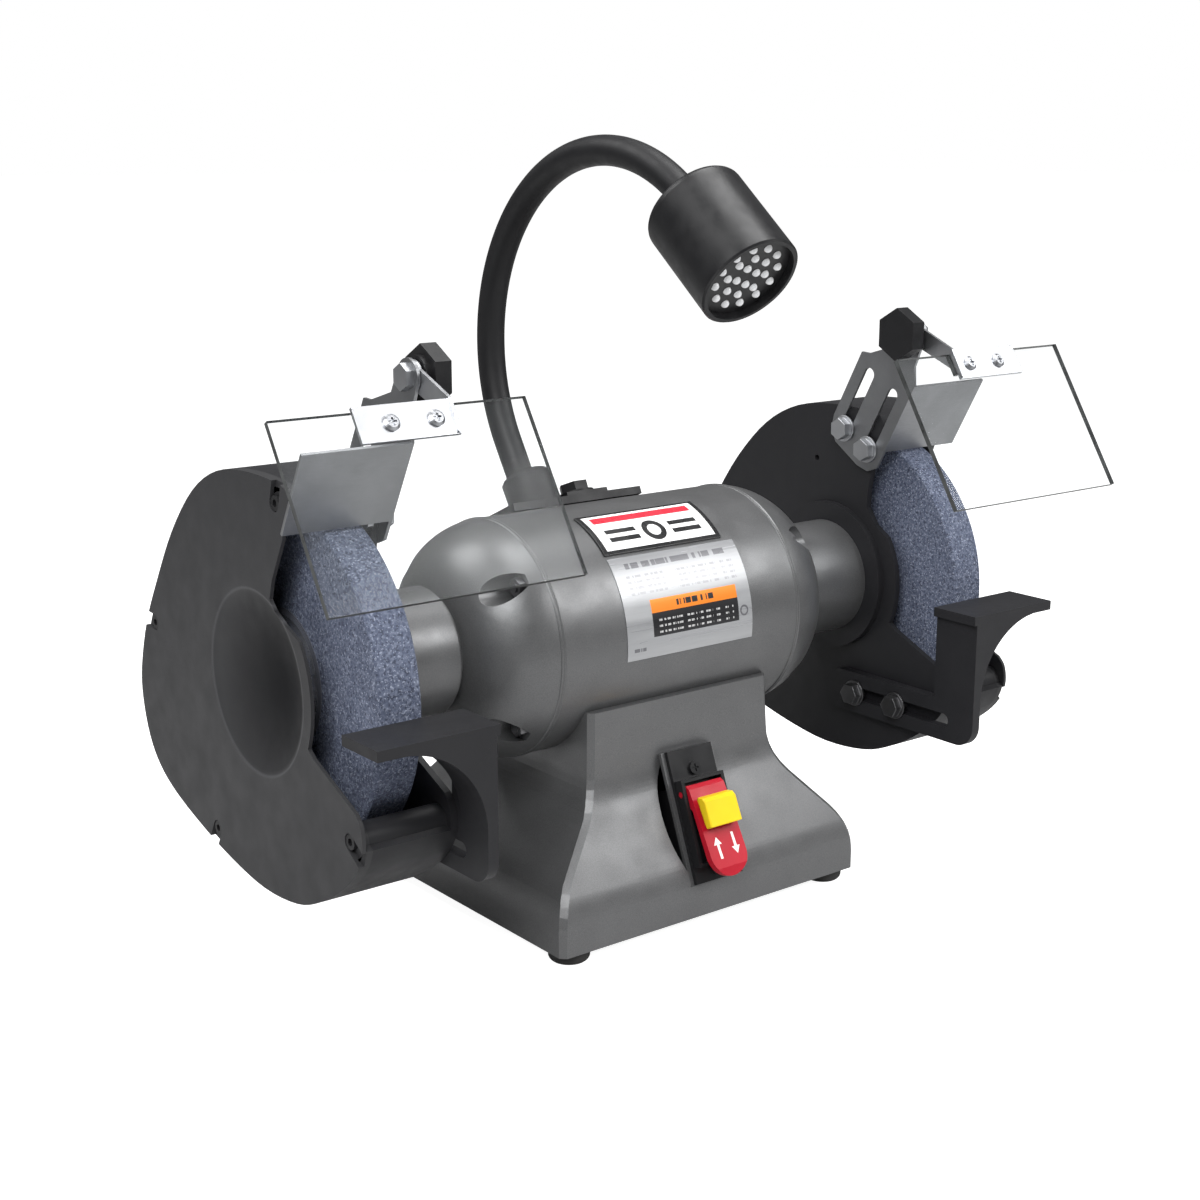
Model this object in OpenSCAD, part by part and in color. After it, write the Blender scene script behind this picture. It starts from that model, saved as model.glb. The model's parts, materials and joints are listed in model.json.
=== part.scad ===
// Bench grinder with two 8 in wheels, cast guards, tool rests, eye shields and a gooseneck lamp.
// +X runs along the shaft to the right, the front faces -Y, and the feet stand on z = 0.

/* [Wheels] */
// Diameter of the grinding wheels
wheel_d = 203.2; // [196:0.2:204]
// Thickness of the grinding wheels
wheel_t = 25.4; // [20:0.2:25.4]
// Distance of each wheel's middle from the middle of the motor
wheel_x = 220.2; // [219.8:0.1:220.4]

/* [Motor] */
// Height of the shaft above the bench
shaft_z = 174.5; // [174:0.1:175]
// Diameter of the motor shell
motor_d = 146; // [145:0.5:147]
// Half the length of the motor shell, to the end bell seams
shell_half = 92.5; // [91:0.5:93.5]
// Diameter of the bearing necks
neck_d = 77; // [75:0.5:78]
// Diameter of the arbor where the wheels sit
arbor_d = 15.88; // [15.8:0.01:15.9]

/* [Guards] */
// Distance of each guard's inner face from the middle of the motor
guard_in = 193; // [192.5:0.1:193.5]
// Distance of each guard cover's outer face from the middle of the motor
guard_out = 252; // [251.8:0.1:252.4]
// Thickness of the cast guard walls
guard_wall = 4; // [3:0.5:4.5]
// Depth of the dish in each cover
dish_depth = 7; // [5:0.5:7]

/* [Base] */
// Half the width of the base at its foot
base_half_x = 118.5; // [117:0.5:120]
// Half the depth of the base at its foot
base_half_y = 104.5; // [103:0.5:106]
// Thickness of the base casting's walls
base_wall = 5; // [4:0.5:6]
// Height of the rubber feet
foot_h = 8; // [6:0.5:10]
// Radius of the bench bolt holes in the feet
bench_hole_r = 4.5; // [4:0.5:5]

/* [Eye shields] */
// Width of each clear shield
shield_w = 152; // [140:1:156]
// Length of each clear shield along its slope
shield_l = 102; // [90:1:104]

/* [Lamp] */
// Diameter of the gooseneck
neck_tube_d = 17.4; // [16:0.2:18]
// Diameter of the lamp head
lamp_d = 58.5; // [54:0.5:60]
// Length of the lamp head
lamp_l = 65; // [60:1:70]

/* [Hidden] */
$fn = 96;

// Finishes
paint_grey = [0.36, 0.36, 0.37];
cover_grey = [0.24, 0.24, 0.25];
cast_black = [0.07, 0.07, 0.08];
zinc = [0.75, 0.76, 0.78];
steel = [0.62, 0.63, 0.65];
dark_plastic = [0.09, 0.09, 0.10];
abrasive = [0.36, 0.38, 0.47];

// Small gap between faces that slide on each other, and a running fit on a pin
slip = 0.3;
run_fit = 0.05;

wheel_r = wheel_d / 2;
motor_r = motor_d / 2;
neck_r = neck_d / 2;
arbor_r = arbor_d / 2;
shell_wall = 3;
wheel_in = wheel_x - wheel_t / 2;
wheel_out = wheel_x + wheel_t / 2;
blotter_t = 0.5;
flange_t = 5;
outer_flange_t = 4;
flange_r = 36;
nut_t = 5;
shaft_tip = wheel_out + blotter_t + outer_flange_t + nut_t;

// ---- helpers -------------------------------------------------------------

// Points on an arc about c, from angle a0 to a1
function arc(c, r, a0, a1, n) =
    [for (i = [0 : n]) c + r * [cos(a0 + (a1 - a0) * i / n), sin(a0 + (a1 - a0) * i / n)]];

// Smooth curve through p, with n steps between points
function spline_at(a, b, c, d, t) =
    0.5 * (2 * b + (c - a) * t + (2 * a - 5 * b + 4 * c - d) * t * t
        + (3 * b - a - 3 * c + d) * t * t * t);
function spline(p, n) =
    [for (i = [0 : len(p) - 2], k = [0 : n - (i == len(p) - 2 ? 0 : 1)])
        spline_at(p[max(i - 1, 0)], p[i], p[i + 1], p[min(i + 2, len(p) - 1)], k / n)];

// The points p drawn t nearer to the shaft
function inward(p, t) =
    [for (q = p) [0, shaft_z] + (q - [0, shaft_z]) * (1 - t / norm(q - [0, shaft_z]))];

function reversed(p) = [for (i = [len(p) - 1 : -1 : 0]) p[i]];

// Left (-1) and right (+1) hand copies of what is drawn for the right
module hand(side) {
    mirror([side < 0 ? 1 : 0, 0, 0]) children();
}

// Draws flat shapes in the y-z plane at x, extruding towards +X
module in_yz(x) {
    translate([x, 0, 0]) rotate([90, 0, 90]) children();
}

// Turned parts: the profile's x is the radius and its y is the place along the shaft
module turned() {
    translate([0, 0, shaft_z]) rotate([0, 90, 0]) rotate_extrude() children();
}

// A plain rod along X, from x0 to x1
module rod_x(x0, x1, r, y = 0, z = 0) {
    translate([x0, y, z]) rotate([0, 90, 0]) cylinder(r = r, h = x1 - x0);
}

// A hexagon prism along X, given across its corners
module hex_x(x0, x1, r, y = 0, z = 0) {
    translate([x0, y, z]) rotate([0, 90, 0]) cylinder(r = r, h = x1 - x0, $fn = 6);
}

// ---- base ----------------------------------------------------------------

base_top_z = 138.2;
base_top_x = 72.2;
base_top_y = 70.5;
base_draft = 1.5;
corner_cut = 3.4;
ogee_z0 = 20;
ogee_z1 = 104;
flank_x = 43.5;
flank_y = 29.5;

// Half of a base outline: upright foot, convex arc, straight flank, concave arc, upright top.
// The flank leans by a, and the two arcs share one radius that makes the ends meet.
function ogee_radius(w, h, a) = (h - w / tan(a)) / (2 * (sin(a) - (1 - cos(a)) / tan(a)));
module ogee_half(foot, top, a, inset) {
    r = ogee_radius(foot - top, ogee_z1 - ogee_z0, a);
    convex = arc([foot - r, ogee_z0], r - inset, 0, a, 8);
    concave = arc([top + r, ogee_z1], r + inset, 180 + a, 180, 8);
    polygon(concat([[0, foot_h - 1], [foot - inset, foot_h - 1]], convex, concave,
        [[top - inset - base_draft, base_top_z + 1], [0, base_top_z + 1]]));
}

module base_outline(foot, top, a, inset) {
    ogee_half(foot, top, a, inset);
    mirror([1, 0]) ogee_half(foot, top, a, inset);
}

// Half width of such an outline at height z
function ogee_at(foot, top, a, z) =
    let (r = ogee_radius(foot - top, ogee_z1 - ogee_z0, a))
        z <= ogee_z0 ? foot
            : z <= ogee_z0 + r * sin(a) ? foot - r + sqrt(r * r - (z - ogee_z0) * (z - ogee_z0))
            : z <= ogee_z1 - r * sin(a) ? foot - r + r * cos(a) - (z - ogee_z0 - r * sin(a)) * tan(a)
            : z <= ogee_z1 ? top + r - sqrt(r * r - (ogee_z1 - z) * (ogee_z1 - z))
            : top - base_draft * (z - ogee_z1) / (base_top_z + 1 - ogee_z1);

// Distance out to the cut-back corner along the diagonal, at height z
function corner_at(z) =
    (ogee_at(base_half_x, base_top_x, flank_x, z) + ogee_at(base_half_y, base_top_y, flank_y, z)
        - corner_cut) / sqrt(2);
corner_heights = concat([foot_h - 1, ogee_z0], [for (i = [1 : 14]) ogee_z0 + 6 * i], [base_top_z + 1]);

// Prism that cuts the upright corners back on one diagonal
module corner_prism() {
    half = base_half_x + base_half_y;
    rotate([90, 0, 45]) translate([0, 0, -half]) linear_extrude(2 * half)
        polygon(concat([for (z = corner_heights) [corner_at(z), z]],
            [for (z = reversed(corner_heights)) [-corner_at(z), z]]));
}

module base_form(inset) {
    intersection() {
        translate([0, base_half_y + 1, 0]) rotate([90, 0, 0])
            linear_extrude(2 * base_half_y + 2) base_outline(base_half_x, base_top_x, flank_x, inset);
        in_yz(-base_half_x - 1)
            linear_extrude(2 * base_half_x + 2) base_outline(base_half_y, base_top_y, flank_y, inset);
        translate([-base_half_x - 1, -base_half_y - 1, foot_h])
            cube([2 * base_half_x + 2, 2 * base_half_y + 2, base_top_z - foot_h]);
    }
}

// Frame of the sloping switch panel: local -Y points out of it and local +Z up along it
panel_tilt = -21.3;
panel_y = -88.2;
panel_z = 66.8;
panel_h = 82;
module on_panel() {
    translate([0, panel_y, panel_z]) rotate([panel_tilt, 0, 0]) children();
}

// Leaf-shaped window behind the switch panel
window_half = 27.5;
window_bow = 79;
module switch_window() {
    translate([0, -1.5]) intersection() {
        translate([window_bow - window_half, 0]) circle(window_bow);
        translate([window_half - window_bow, 0]) circle(window_bow);
        square([60, 74], center = true);
    }
}

gland_z = 56;
gland_r = 8;
flank_wall = base_wall * (1 + sin(flank_y));

// Frame on the rear flank of the base: local +Z points straight out of it
module on_flank() {
    translate([0, ogee_at(base_half_y, base_top_y, flank_y, gland_z), gland_z])
        rotate([flank_y - 90, 0, 0]) children();
}
foot_x = 103;
foot_y = 90;
screw_x = 60;

module base_casting() {
    color(paint_grey) difference() {
        intersection() {
            base_form(0);
            corner_prism();
            mirror([1, 0, 0]) corner_prism();
        }
        difference() {
            translate([0, 0, -base_wall]) base_form(base_wall);
            rod_x(-base_half_x, base_half_x, motor_r + base_wall + 1, 0, shaft_z);
        }
        rod_x(-base_half_x, base_half_x, motor_r, 0, shaft_z);
        on_panel() translate([0, 30, 0]) rotate([90, 0, 0]) linear_extrude(60) switch_window();
        on_panel() translate([-bracket_half - slip, bracket_t - 20, -panel_h / 2 - slip])
            cube([2 * (bracket_half + slip), 20, panel_h + 2 * slip]);
        on_flank() translate([0, 0, -20]) cylinder(r = gland_r, h = 30);
        for (x = [-motor_bolt_x, motor_bolt_x])
            translate([x, 0, 90]) cylinder(r = motor_bolt_r, h = 20);
    }
    color(paint_grey) for (x = [-1, 1], y = [-1, 1])
        translate([x * screw_x, y * (base_half_y - base_wall - 5), foot_h + plate_t]) difference() {
            cylinder(r = 6.5, h = 14);
            translate([0, 0, -1]) cylinder(r = screw_r, h = 12);
        }
}

plate_t = 3;
screw_r = 2.5;
capacitor_r = 18;
capacitor_half = 42;
capacitor_y = 48;
capacitor_z = foot_h + plate_t + capacitor_r + 1;

module base_plate() {
    x = base_half_x - base_wall - slip;
    y = base_half_y - base_wall - slip;
    color("dimgray") difference() {
        union() {
            translate([-x, -y, foot_h]) cube([2 * x, 2 * y, plate_t]);
            for (i = [-25, 25]) translate([i - 6, capacitor_y - 14, foot_h]) cube([12, 28, plate_t + 9]);
        }
        rod_x(-capacitor_half - 1, capacitor_half + 1, capacitor_r, capacitor_y, capacitor_z);
        for (i = [-1, 1], j = [-1, 1]) {
            translate([i * foot_x, j * foot_y, foot_h - 1]) cylinder(r = bench_hole_r, h = plate_t + 2);
            translate([i * screw_x, j * (base_half_y - base_wall - 5), foot_h - 1])
                cylinder(r = screw_r, h = plate_t + 2);
        }
    }
}

module base_plate_screws() {
    color(steel) for (i = [-1, 1], j = [-1, 1])
        translate([i * screw_x, j * (base_half_y - base_wall - 5), 0]) {
            translate([0, 0, foot_h - 2.5]) cylinder(r = 4.5, h = 2.5);
            translate([0, 0, foot_h - 1]) cylinder(r = screw_r, h = 12);
        }
}

foot_r = 12.5;

module rubber_feet() {
    color("black") for (i = [-1, 1], j = [-1, 1]) translate([i * foot_x, j * foot_y, 0])
        rotate_extrude() polygon(concat([[bench_hole_r, 0], [foot_r - 4, 0]],
            arc([foot_r - 4, 4], 4, -90, 0, 6), [[foot_r, foot_h], [bench_hole_r, foot_h]]));
}

module cord_gland() {
    color(dark_plastic) on_flank() difference() {
        union() {
            translate([0, 0, -flank_wall - 4]) cylinder(r = gland_r, h = flank_wall + 6);
            cylinder(r = 12, h = 4);
            translate([0, 0, 4]) cylinder(r1 = 9, r2 = 6.5, h = 7);
            translate([0, 0, -flank_wall - 5]) cylinder(r = 11, h = 5);
        }
        translate([0, 0, -flank_wall - 6]) cylinder(r = 4, h = 40);
    }
}

module capacitor() {
    color("darkslategray") {
        rod_x(-capacitor_half, capacitor_half, capacitor_r, capacitor_y, capacitor_z);
        rod_x(capacitor_half, capacitor_half + 4, capacitor_r - 3, capacitor_y, capacitor_z);
        for (y = [-6, 6])
            rod_x(capacitor_half + 3, capacitor_half + 12, 2, capacitor_y + y, capacitor_z);
    }
}

// ---- switch --------------------------------------------------------------

bracket_half = 20.5;
bracket_t = 2.5;

// Folded strip that bridges the window and carries the switch plate
module switch_bracket() {
    color(paint_grey) on_panel() difference() {
        translate([-bracket_half, 0, -panel_h / 2]) cube([2 * bracket_half, bracket_t, panel_h]);
        translate([-12, -1, -29]) cube([24, bracket_t + 2, 48]);
        for (z = [-35, 28]) translate([0, 5, z]) rotate([90, 0, 0]) cylinder(r = 2, h = 8);
    }
}

switch_plate_half = 17.6;
housing_half = 17;
housing_in = 14.6;

module switch_plate() {
    color(dark_plastic) on_panel() difference() {
        union() {
            translate([-switch_plate_half, -2.6, -panel_h / 2])
                cube([2 * switch_plate_half, 2.6, panel_h]);
            translate([-housing_half, -9, -31]) cube([2 * housing_half, 7, 53.5]);
        }
        translate([-housing_in, -10, -29]) cube([2 * housing_in, 8.5, 49.5]);
        rod_x(-housing_half - 1, housing_half + 1, paddle_pin_r + run_fit, -paddle_pivot_out, paddle_pivot_z);
        translate([-7, -5, -12]) cube([14, 8, 24]);
        for (z = [-35, 28]) translate([0, 5, z]) rotate([90, 0, 0]) cylinder(r = 2, h = 8);
    }
}

module switch_body() {
    color("black") on_panel() {
        translate([-11.5, 0.2, -28.5]) cube([23, 28, 46]);
        translate([-6, -1.2, -10]) cube([12, 1.5, 20]);
        for (x = [-6, 6], z = [-18, 0, 12]) translate([x - 0.5, 28, z - 3]) cube([1, 8, 6]);
    }
}

module switch_screws() {
    color("black") on_panel() for (z = [-35, 28]) translate([0, 0, z]) rotate([90, 0, 0]) difference() {
        union() {
            translate([0, 0, 2.6]) cylinder(r = 4, h = 2);
            translate([0, 0, -5]) cylinder(r = 2, h = 8);
        }
        for (a = [0, 90]) rotate([0, 0, a]) translate([-2.4, -0.5, 3.6]) cube([4.8, 1, 2]);
    }
}

paddle_half = 14;
paddle_pivot_out = 5.5;
paddle_pivot_z = 14;
paddle_pin_r = 2;

// Safety paddle, hinged near its top, thicker towards its round lower end
module switch_paddle() {
    color([0.82, 0.11, 0.16]) on_panel() difference() {
        intersection() {
            translate([-paddle_half, 0, 0]) rotate([90, 0, 90]) linear_extrude(2 * paddle_half)
                polygon([[-4, 17], [-8.5, 18.5], [-11, 16], [-12.5, 8], [-18.5, -34], [-17.5, -40],
                    [-14.5, -40.5], [-13.6, -33], [-9.9, 3], [-4, 10]]);
            rotate([90, 0, 0]) linear_extrude(30) union() {
                translate([-paddle_half, -26]) square([2 * paddle_half, 46]);
                translate([0, -26]) circle(paddle_half);
            }
        }
        translate([-10.6, -30, -7.6]) cube([21.2, 40, 17.2]);
    }
    color([0.82, 0.11, 0.16]) on_panel()
        rod_x(-housing_half + 0.5, housing_half - 0.5, paddle_pin_r, -paddle_pivot_out, paddle_pivot_z);
}

// Yellow lock-out key, pushed into the paddle
module switch_key() {
    color([0.98, 0.85, 0.1]) on_panel() {
        translate([-10.3, -16.5, -7.3]) cube([20.6, 7.5, 16.6]);
        translate([-12.5, 0, 0]) rotate([90, 0, 90]) linear_extrude(25)
            polygon([[-15, 10.5], [-19.6, 9.5], [-21.5, 7], [-22.4, -8.5], [-17.5, -9.2]]);
    }
}

// ---- motor ---------------------------------------------------------------

motor_bolt_x = 42;
motor_bolt_r = 4;
tie_r = 63;
tie_angles = [48, 132, 228, 312];
pocket_r = 8.6;
pocket_floor = 104;
tie_bolt_r = 3;

// Places children on the four tie-bolt axes, as seen along +X
module at_tie_bolts() {
    for (a = tie_angles) translate([0, tie_r * sin(a), shaft_z + tie_r * cos(a)]) children();
}

// Places children on the three bolt axes that hold a guard to its neck
module at_guard_bolts() {
    for (a = guard_bolt_angles)
        translate([0, guard_bolt_ring * sin(a), shaft_z + guard_bolt_ring * cos(a)]) children();
}

module motor_shell() {
    color(paint_grey) difference() {
        turned() translate([motor_r - shell_wall, -shell_half]) square([shell_wall, 2 * shell_half]);
        for (x = [-motor_bolt_x, motor_bolt_x]) translate([x, 0, 90]) cylinder(r = motor_bolt_r, h = 20);
    }
}

dome_r = 50;
dome_x = 90;
bell_wall = 5;
groove_x = 139;
shaft_bore_r = 12;
bearing_r = 23.5;
bearing_in = 150;
bearing_w = 14;

// Half outline of the end bell's outer skin, drawn in by t: domed shoulder, groove and neck
module dome_outline(t) {
    intersection() {
        translate([motor_r - dome_r, dome_x]) circle(dome_r - t);
        translate([0, shell_half]) square([motor_r, dome_r]);
    }
    translate([0, shell_half]) square([motor_r - dome_r + 1, dome_x + dome_r - t - shell_half]);
}

// Cast end bell, with pockets for the tie bolts and a bore for the bearing in its neck
module bell() {
    difference() {
        union() {
            turned() difference() {
                union() {
                    dome_outline(0);
                    translate([0, groove_x - 8]) square([neck_r - 2.5, 12]);
                    translate([0, groove_x + 2]) square([neck_r, guard_in - groove_x - 2]);
                }
                difference() {
                    dome_outline(bell_wall);
                    translate([0, 120]) square([bearing_r + 5, 30]);
                }
            }
            intersection() {
                at_tie_bolts() rod_x(shell_half, groove_x, pocket_r + 2.5);
                turned() dome_outline(0.5);
            }
        }
        rod_x(shell_half - 1, bearing_in + bearing_w, bearing_r, 0, shaft_z);
        rod_x(shell_half - 1, guard_in + 1, shaft_bore_r, 0, shaft_z);
        at_tie_bolts() {
            rod_x(pocket_floor, 160, pocket_r);
            rod_x(shell_half - 1, pocket_floor + 1, tie_bolt_r + 0.3);
        }
        at_guard_bolts() rod_x(guard_in - 16, guard_in + 1, guard_bolt_r);
    }
}

module end_bell_left() {
    color(paint_grey) hand(-1) bell();
}

module end_bell_right() {
    color(paint_grey) hand(1) bell();
}

module tie_bolts() {
    color(steel) at_tie_bolts() {
        rod_x(-pocket_floor - 6, pocket_floor, tie_bolt_r);
        hex_x(pocket_floor, pocket_floor + 5, 5.8);
        hex_x(-pocket_floor - 5, -pocket_floor, 5.8);
    }
}

module motor_bolts() {
    z = shaft_z - motor_r - base_wall - 1;
    color(steel) for (x = [-motor_bolt_x, motor_bolt_x]) translate([x, 0, z]) {
        translate([0, 0, -5.5]) cylinder(r = 7.5, h = 5.5, $fn = 6);
        translate([0, 0, -1]) cylinder(r = motor_bolt_r, h = 13);
    }
}

core_half = 38;
core_in = 38;
winding_in = 41;
winding_out = 58;

module stator_core() {
    color("slategray") difference() {
        turned() translate([core_in, -core_half]) square([motor_r - shell_wall - core_in, 2 * core_half]);
        at_tie_bolts() rod_x(-core_half - 1, core_half + 1, tie_bolt_r + 0.3);
        for (x = [-motor_bolt_x, motor_bolt_x]) translate([x, 0, 90]) cylinder(r = 9, h = 20);
        for (i = [0 : 23]) translate([0, 0, shaft_z]) rotate([i * 15, 0, 0])
            translate([-core_half - 1, -2, core_in - 2]) cube([2 * core_half + 2, 4, winding_out - core_in - 3]);
    }
}

module stator_windings() {
    color("peru") for (m = [0, 1]) mirror([m, 0, 0])
        turned() translate([winding_in + 6, core_half]) {
            translate([-6, 0]) square([winding_out - winding_in, 12]);
            translate([0, 12]) circle(6);
            translate([winding_out - winding_in - 12, 12]) circle(6);
            translate([0, 6]) square([winding_out - winding_in - 12, 12]);
        }
}

// A thin plate wrapped on the motor, from x0 to x1 and from angle a0 to a1 forward of the top
module wrapped_plate(x0, x1, a0, a1, t) {
    translate([0, 0, shaft_z]) rotate([0, 90, 0]) rotate([0, 0, 180 + a0])
        rotate_extrude(angle = a1 - a0) translate([motor_r, x0]) square([t, x1 - x0]);
}

module name_badge() {
    color("whitesmoke") wrapped_plate(-46.5, 45.5, 16.3, 44.2, 1.2);
}

module rating_plate() {
    color("gainsboro") wrapped_plate(-46, 53, 46, 96, 0.4);
}

module bearing_outer_races() {
    color(steel) for (m = [0, 1]) mirror([m, 0, 0])
        turned() translate([20.5, bearing_in]) square([bearing_r - 20.5, bearing_w]);
}

journal_r = 10;

module bearing_inners() {
    color(steel) for (m = [0, 1]) mirror([m, 0, 0]) {
        turned() translate([journal_r, bearing_in]) square([3.5, bearing_w]);
        for (i = [0 : 8]) translate([bearing_in + bearing_w / 2, 17 * sin(i * 40), shaft_z + 17 * cos(i * 40)])
            sphere(r = 3.4, $fn = 32);
    }
}

rotor_r = core_in - 0.5;
core_shaft_r = 14;

module rotor_core() {
    color("gray") turned() {
        translate([core_shaft_r, -core_half]) square([rotor_r - core_shaft_r, 2 * core_half]);
        for (y = [-core_half - 9, core_half]) translate([rotor_r - 12, y]) square([10, 9]);
    }
}

flange_seat = wheel_in - blotter_t - flange_t;

module arbor_shaft() {
    color(steel) {
        rod_x(-60, 60, core_shaft_r, 0, shaft_z);
        rod_x(-bearing_in - bearing_w - 1, bearing_in + bearing_w + 1, journal_r, 0, shaft_z);
        for (m = [0, 1]) mirror([m, 0, 0]) {
            rod_x(bearing_in - 20, bearing_in, journal_r + 1.5, 0, shaft_z);
            rod_x(bearing_in, flange_seat, journal_r, 0, shaft_z);
            rod_x(flange_seat, shaft_tip - 0.8, arbor_r, 0, shaft_z);
            translate([shaft_tip - 0.8, 0, shaft_z]) rotate([0, 90, 0])
                cylinder(r1 = arbor_r, r2 = arbor_r - 0.8, h = 0.8);
        }
    }
}

// Dished washer that grips the wheel near its rim r, with its back at x0
module flange(x0, t, face_out) {
    face = face_out ? x0 + t : x0;
    difference() {
        rod_x(x0, x0 + t, flange_r, 0, shaft_z);
        rod_x(x0 - 1, x0 + t + 1, arbor_r, 0, shaft_z);
        rod_x(face - 1, face + 1, flange_r - 9, 0, shaft_z);
    }
}

module inner_flanges() {
    color(steel) for (m = [0, 1]) mirror([m, 0, 0]) flange(flange_seat, flange_t, true);
}

module outer_flanges() {
    color(steel) for (m = [0, 1]) mirror([m, 0, 0]) flange(wheel_out + blotter_t, outer_flange_t, false);
}

module spindle_nuts() {
    color(steel) for (m = [0, 1]) mirror([m, 0, 0]) difference() {
        hex_x(shaft_tip - nut_t, shaft_tip - 0.4, 13.5, 0, shaft_z);
        rod_x(shaft_tip - nut_t - 1, shaft_tip, arbor_r, 0, shaft_z);
    }
}

module blotters() {
    color("tan") for (m = [0, 1]) mirror([m, 0, 0]) for (x = [wheel_in - blotter_t, wheel_out]) difference() {
        rod_x(x, x + blotter_t, flange_r + 4, 0, shaft_z);
        rod_x(x - 1, x + blotter_t + 1, arbor_r, 0, shaft_z);
    }
}

module wheel() {
    edge = 1.2;
    turned() polygon([[arbor_r, wheel_in], [wheel_r - edge, wheel_in], [wheel_r, wheel_in + edge],
        [wheel_r, wheel_out - edge], [wheel_r - edge, wheel_out], [arbor_r, wheel_out]]);
}

module wheel_left() {
    color(abrasive) hand(-1) wheel();
}

module wheel_right() {
    color(abrasive) hand(1) wheel();
}

// ---- wheel guards --------------------------------------------------------

// Outline of a guard seen along the shaft, from the top of the front opening over the back to
// the lip below it: round over the wheel, a dust chute low at the back, a lobe low at the front
guard_points = [[-46, 284], [-38, 291], [0, 293], [36, 288.5], [68, 273], [98, 244.5], [123, 210],
    [141, 181], [152, 151], [153, 130], [146, 107], [133, 91], [112, 79], [78, 67.5], [40, 58],
    [0, 52.5], [-38, 55.5], [-64, 65], [-88, 79.5], [-104, 94], [-111, 108], [-110, 121], [-105, 127.5]];
guard_outer = spline(guard_points, 4);

// Front opening: straight lower edge, an arc round the flanges, then the notch under the top
opening_r = 62;
opening_edge = concat([[-63, 146]], arc([0, shaft_z], opening_r, 203, 147, 10));
shell_notch = [[-41, 215], [-33, 226], [-33.4, 238], [-38, 262]];
cover_notch = [[-37, 214.5], [-25, 219.5], [-20.5, 226], [-24, 237], [-37.5, 261]];

module guard_profile(notch) {
    polygon(concat(guard_outer, opening_edge, notch));
}

// Band of width t that follows the guard's rim, from the top to the bar in the front lobe
rim_path = [for (i = [0 : len(guard_outer) - 9]) guard_outer[i]];
module guard_rim(t) {
    polygon(concat(rim_path, reversed(inward(rim_path, t))));
}

cover_t = 6.5;
cover_skin = 2.2;
shell_end = guard_out - cover_t;
boss_spots = [[129, 183, 6], [57, 72, 6], [-98, 110, 9.4], [-30, 280, 6]];
cover_screw_r = 2.5;
guard_bolt_r = 3;
guard_bolt_ring = 30;
guard_bolt_angles = [60, 180, 300];
rest_bolt_y = [-34, -72];
rest_bolt_z = 97;
rest_bolt_r = 4;
ring_r = 51;
ring_t = 5;
chute_r = 16;
chute_z = 122;
chute_x = (guard_in + shell_end) / 2 + 1;
spark_bolt_t = [97.5, 122];
spark_bolt_s = 250;
spark_bolt_r = 4;

module guard_shell() {
    difference() {
        union() {
            in_yz(guard_in) linear_extrude(guard_wall) guard_profile(shell_notch);
            in_yz(guard_in) linear_extrude(shell_end - guard_in) guard_rim(guard_wall);
            rod_x(guard_in - ring_t, guard_in, ring_r, 0, shaft_z);
            for (p = boss_spots) rod_x(guard_in, shell_end, p[2], p[0], p[1]);
            chute_spout();
        }
        rod_x(guard_in - ring_t - 1, guard_in, neck_r, 0, shaft_z);
        rod_x(guard_in - 1, guard_in + guard_wall + 1, 22, 0, shaft_z);
        for (p = boss_spots) rod_x(shell_end - 20, shell_end + 1, cover_screw_r, p[0], p[1]);
        at_guard_bolts() rod_x(guard_in - 1, guard_in + guard_wall + 1, guard_bolt_r);
        for (y = rest_bolt_y) rod_x(guard_in - 1, guard_in + guard_wall + 1, rest_bolt_r, y, rest_bolt_z);
        for (t = spark_bolt_t) along_spark() translate([t, spark_bolt_s, guard_in - 1])
            cylinder(r = spark_bolt_r, h = guard_wall + 2);
        rod_x(guard_in - 1, guard_in + guard_wall + 1, 2, 16, 254);
        translate([chute_x, 120, chute_z]) rotate([-90, 0, 0]) cylinder(r = chute_r, h = 60);
    }
}

// Round collar on the dust chute at the back
module chute_spout() {
    translate([chute_x, 140, chute_z]) rotate([-90, 0, 0]) cylinder(r = chute_r + 3, h = 26);
}

module guard_left() {
    color(cast_black) hand(-1) guard_shell();
}

module guard_right() {
    color(cast_black) hand(1) guard_shell();
}

module guard_bolts() {
    color(steel) for (m = [0, 1]) mirror([m, 0, 0]) at_guard_bolts() {
        rod_x(guard_in - 14, guard_in + guard_wall, guard_bolt_r);
        hex_x(guard_in + guard_wall, guard_in + guard_wall + 3.6, 5.5);
    }
}

dish_r = 54;
dish_power = 2.2;

// Place of the dish's outer face at radius r: a bowl that meets the cover's flat face at a crisp edge
function dish_x(r) = guard_out - dish_depth * (1 - pow(r / dish_r, dish_power));
dish_radii = [for (i = [1 : 14]) dish_r * i / 14];

module dish() {
    turned() polygon(concat([[0, dish_x(0) - cover_skin], [0, dish_x(0)]],
        [for (r = dish_radii) [r, dish_x(r)]],
        [for (r = reversed(dish_radii)) [r, dish_x(r) - cover_skin]]));
}

notch_r = 4.8;
notch_depth = 3;

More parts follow.
